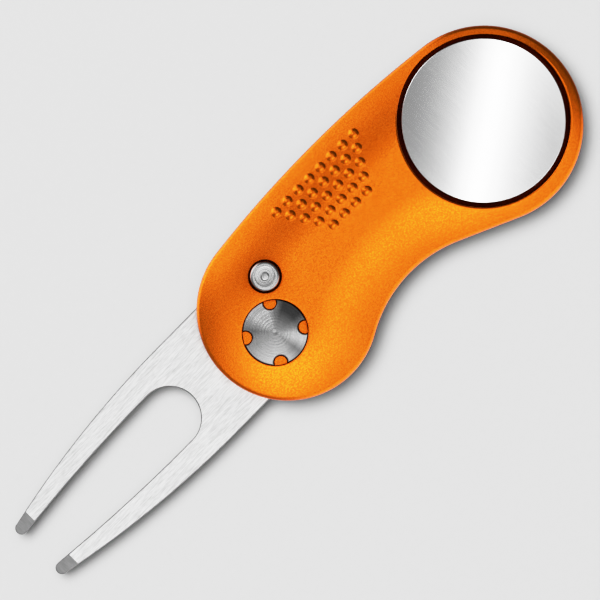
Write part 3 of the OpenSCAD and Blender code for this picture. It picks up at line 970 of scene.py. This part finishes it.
def button():
    shape = Shape()
    r = BUTTON_R
    side = [(r, BUTTON_LOW), (r, BUTTON_TOP - 0.3)]
    top = BUTTON_TOP
    chamfer = [(r, top - 0.3), (r - 0.08, top - 0.12), (r - 0.2, top - 0.03), (r - 0.36, top)]
    face = [(r - 0.36, top), (1.5, top)]
    dish = [(1.5, top), (1.42, top - 0.03), (1.3, top - 0.05), (0.66, top - 0.06)]
    lip = [(0.66, top - 0.06), (0.62, top - 0.09)]
    under = [(0.6, BUTTON_LOW), (r, BUTTON_LOW)]
    lathe(shape, BUTTON, [under, side, chamfer, face, dish, lip], 96)
    shape.finish("button_disc", "release_button", "turned_steel", button_steel, "button_cap")
    pin = Shape()
    nub = [(0.6, BUTTON_LOW), (0.6, top - 0.1), (0.56, top - 0.06), (0.42, top - 0.03), (0.2, top - 0.02),
           (0, top - 0.02)]
    lathe(pin, BUTTON, [nub], 48)
    lathe(pin, BUTTON, [[(1.2, 6.4), (1.2, BUTTON_LOW)]], 48)
    lathe(pin, BUTTON, [[(0, 4.5), (1.4, 4.5)], [(1.4, 4.5), (1.55, 4.65)], [(1.55, 4.65), (1.55, 6.48)],
                        [(1.55, 6.48), (1.2, 6.48)]], 48)
    pin.finish("lock_pin_turned", "release_button", "turned_steel", button_steel, "lock_pin")


def marker():
    shape = Shape()
    top = MARKER_Z + MARKER_T
    dome = []
    dome_r = 11.93
    for k in range(13):
        r = dome_r * (1 - k / 12)
        dome.append((r, top - MARKER_DOME * (r / dome_r) ** 2))
    rim = [(MARKER_R, top - 0.2), (11.995, top - 0.16), (11.97, top - 0.13), (dome_r, top - MARKER_DOME)]
    lathe(shape, MARKER, [
        [(0, MARKER_Z), (11.8, MARKER_Z)],
        [(11.8, MARKER_Z), (MARKER_R, MARKER_Z + 0.2)],
        [(MARKER_R, MARKER_Z + 0.2), (MARKER_R, top - 0.2)],
        rim,
        dome,
    ], 200)
    shape.finish("marker_disc", "ball_marker", "marker", mirror_steel, "ball_marker")


def coil(name, body, centre, radius, wire, low, high, turns, start, lead_in, lead_out, node):
    """A helical spring as a round wire along a curve. The leads are points in plan and height."""
    points = list(lead_in)
    steps = int(36 * turns)
    for i in range(steps + 1):
        c, s = along(start + 360 * turns * i / steps)
        points.append((centre[0] + radius * c, centre[1] + radius * s, low + (high - low) * i / steps))
    points += lead_out
    curve = bpy.data.curves.new(name, "CURVE")
    curve.dimensions = "3D"
    curve.bevel_depth = wire / 1000
    curve.bevel_resolution = 6
    curve.use_fill_caps = True
    line = curve.splines.new("POLY")
    line.points.add(len(points) - 1)
    for point, (x, y, z) in zip(line.points, points):
        point.co = (x / 1000 + PIVOT_X, y / 1000 + PIVOT_Y, z / 1000, 1)
    draft = bpy.data.objects.new(name + "_draft", curve)
    mesh = bpy.data.meshes.new_from_object(draft)
    bpy.data.objects.remove(draft)
    piece = bpy.data.objects.new(name, mesh)
    bpy.context.scene.collection.objects.link(piece)
    mesh.materials.clear()
    mesh.materials.append(spring_steel)
    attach(piece, body)
    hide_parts(node)
    return piece


def springs():
    c, s = along(250)
    foot = [(4.05 * c, 4.05 * s, 4.85), (4.05 * c, 4.05 * s, 6.48), (3.77 * c, 3.77 * s, 6.7)]
    a, b = along(250 + 20 + 900)
    head = [(2.75 * a, 2.75 * b, 9.04), (2.75 * a, 2.75 * b, 9.8)]
    coil("torsion_coil", "handle", (0, 0), 2.75, 0.33, 6.77, 8.69, 2.45, 288, foot, head, "torsion_spring")
    piece = coil("button_coil", "handle", BUTTON, 1.75, 0.125, 7.25, 10.14, 3, 0, [], [],
                 "button_spring")
    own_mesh(piece)


def finish_node(name, material, bevel=0.0):
    """Shows a CAD node as it is, with a finish and softened edges."""
    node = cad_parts[name]
    node.data.materials.clear()
    node.data.materials.append(material)
    if bevel:
        modifier = node.modifiers.new("edges", "BEVEL")
        modifier.width = bevel / 1000
        modifier.segments = 2
        modifier.limit_method = "ANGLE"
        modifier.angle_limit = math.radians(50)


# --- Camera, floor and light ---


def camera():
    data = bpy.data.cameras.new("camera")
    data.sensor_width = 36
    height = 1.2
    data.lens = 36 * height / 0.08764
    data.clip_start = 0.01
    data.clip_end = 20
    eye = bpy.data.objects.new("camera", data)
    eye.location = (0.00086, 0.00055, height + 0.0102)
    eye.rotation_euler = (0, 0, math.radians(-45.48))
    bpy.context.scene.collection.objects.link(eye)
    bpy.context.scene.camera = eye


def floor():
    mesh = bpy.data.meshes.new("floor")
    mesh.from_pydata([(-3, -3, 0), (3, -3, 0), (3, 3, 0), (-3, 3, 0)], [], [(0, 1, 2, 3)])
    sheet = bpy.data.objects.new("floor", mesh)
    bpy.context.scene.collection.objects.link(sheet)
    p = Paint("pale_floor")
    speck = p.noise(900, 2.0)
    mesh.materials.append(p.set(color=p.ramp(speck, [(0.3, 0.66), (0.7, 0.67)]), roughness=0.9))
    # The metal mirrors the sky's lower half instead of the floor
    sheet.visible_glossy = False
    sheet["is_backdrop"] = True


def studio():
    """A sky that the metal mirrors: softboxes, dark flags and a striped panel overhead, and two lamps
    for the floor."""
    world = bpy.data.worlds.new("studio")
    bpy.context.scene.world = world
    world.use_nodes = True
    tree = world.node_tree
    back = tree.nodes["Background"]
    coordinates = tree.nodes.new("ShaderNodeTexCoord")

    def dot(direction):
        node = tree.nodes.new("ShaderNodeVectorMath")
        node.operation = "DOT_PRODUCT"
        tree.links.new(coordinates.outputs["Generated"], node.inputs[0])
        node.inputs[1].default_value = direction
        return node.outputs["Value"]

    def ramp(value, low, high, stops, kind="EASE"):
        span = tree.nodes.new("ShaderNodeMapRange")
        span.inputs["From Min"].default_value = low
        span.inputs["From Max"].default_value = high
        tree.links.new(value, span.inputs["Value"])
        node = tree.nodes.new("ShaderNodeValToRGB")
        node.color_ramp.interpolation = kind
        set_stops(node.color_ramp, stops)
        tree.links.new(span.outputs["Result"], node.inputs["Fac"])
        return node.outputs["Color"]

    def combine(kind, a, b):
        node = tree.nodes.new("ShaderNodeMath")
        node.operation = kind
        for socket, value in zip(node.inputs, (a, b)):
            if isinstance(value, (int, float)):
                socket.default_value = value
            else:
                tree.links.new(value, socket)
        return node.outputs[0]

    def box(azimuth, elevation, wide, soft, level):
        """A softbox in the sky: full inside its width, fading out over its soft edge, all in degrees.
        A negative level makes a dark flag."""
        c, n = along(azimuth)
        up, z = along(elevation)
        edge = along(wide + soft)[0]
        full = along(wide)[0]
        lit = ramp(dot((c * up, n * up, z)), edge, full, [(0.0, 0.0), (1.0, 1.0)])
        return combine("MULTIPLY", lit, level)

    base = 0.32
    darkest = 0.1
    wide = combine("ADD", box(244, 54, 33, 10, 0.68), base)
    high_boxes = ((218, 65, 7, 9, 1.5), (275, 81, 7, 7, 0.5), (99, 52, 1, 15, 1.7), (325, 86, 12, 24, 0.75),
                  (104, 26, 12, 16, 0.9), (350, 58, 9, 11, -0.42), (75, 76, 3, 14, -0.6),
                  (40, 56, 10, 14, 0.16))
    low_boxes = ((15, -25, 60, 14, -0.38), (0, -90, 62, 20, 0.35), (108, -8, 30, 14, 1.6),
                 (275, -8, 38, 14, 1.3))
    for softbox in high_boxes + low_boxes:
        wide = combine("ADD", wide, box(*softbox))
    wide = combine("MAXIMUM", wide, darkest)
    # The panel straight overhead is what the ball marker mirrors as a pale band
    stripe = ramp(dot((0.552, -0.832, 0)), -0.03, 0.065, [
        (0.0, 0.07), (0.16, 0.11), (0.29, 0.165), (0.37, 0.235), (0.44, 0.4), (0.49, 1.0), (0.59, 1.0),
        (0.65, 0.5), (0.72, 0.34), (0.79, 0.265), (0.86, 0.205), (1.0, 0.13)], "B_SPLINE")
    stripe = combine("MULTIPLY", stripe, 3.6)
    near_top = ramp(dot((0, 0, 1)), 0.9935, 0.998, [(0.0, 0.0), (1.0, 1.0)])
    total = combine("ADD", combine("MULTIPLY", wide, combine("SUBTRACT", 1.0, near_top)),
                    combine("MULTIPLY", stripe, near_top))
    tree.links.new(total, back.inputs["Strength"])
    back.inputs["Color"].default_value = (1, 1, 1, 1)

    world.cycles_visibility.diffuse = False
    lamp("key", (-0.06, 0.34, 2.0), 0.72, 30.5)
    lamp("fill", (-0.04, 0.4, 3.2), 2.2, 56)


def lamp(name, place, size, power):
    """A round lamp over the floor. The metal mirrors the softboxes in the sky instead."""
    light = bpy.data.lights.new(name, "AREA")
    light.shape = "DISK"
    light.size = size
    light.energy = power
    holder = bpy.data.objects.new(name, light)
    holder.location = place
    holder.rotation_euler = (-holder.location).to_track_quat("-Z", "Y").to_euler()
    holder.visible_glossy = False
    bpy.context.scene.collection.objects.link(holder)


camera()
floor()
studio()

# A tone curve with a long shoulder, so that bright orange keeps its colour
TONE_WHITE = 3.0
TONE_CURVE = ((0.1, 0.1), (0.2, 0.205), (0.3, 0.32), (0.45, 0.52), (0.6, 0.67), (0.8, 0.78),
              (1.0, 0.84), (1.5, 0.92), (2.3, 0.967))
tone = bpy.context.scene.view_settings
tone.view_transform = "Standard"
tone.use_curve_mapping = True
tone.curve_mapping.white_level = (TONE_WHITE, TONE_WHITE, TONE_WHITE)
for level, shown in TONE_CURVE:
    tone.curve_mapping.curves[3].points.new(level / TONE_WHITE, shown)
tone.curve_mapping.update()
bpy.context.scene.cycles.caustics_reflective = False

front_shell()
back_shell()
fork()
pivot_cap()
button()
marker()
springs()
finish_node("magnet", nickel, 0.1)
finish_node("back_washer", bronze)
finish_node("front_washer", bronze)
finish_node("pivot_screw", screw_steel, 0.08)
for node_name in ("tail_screw", "spine_screw", "head_screw"):
    finish_node(node_name, screw_steel, 0.06)
for node_name in ("spine_dowel", "head_dowel"):
    finish_node(node_name, screw_steel)

{"at_load": cad_bounds, "at_finish": plain(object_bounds())}
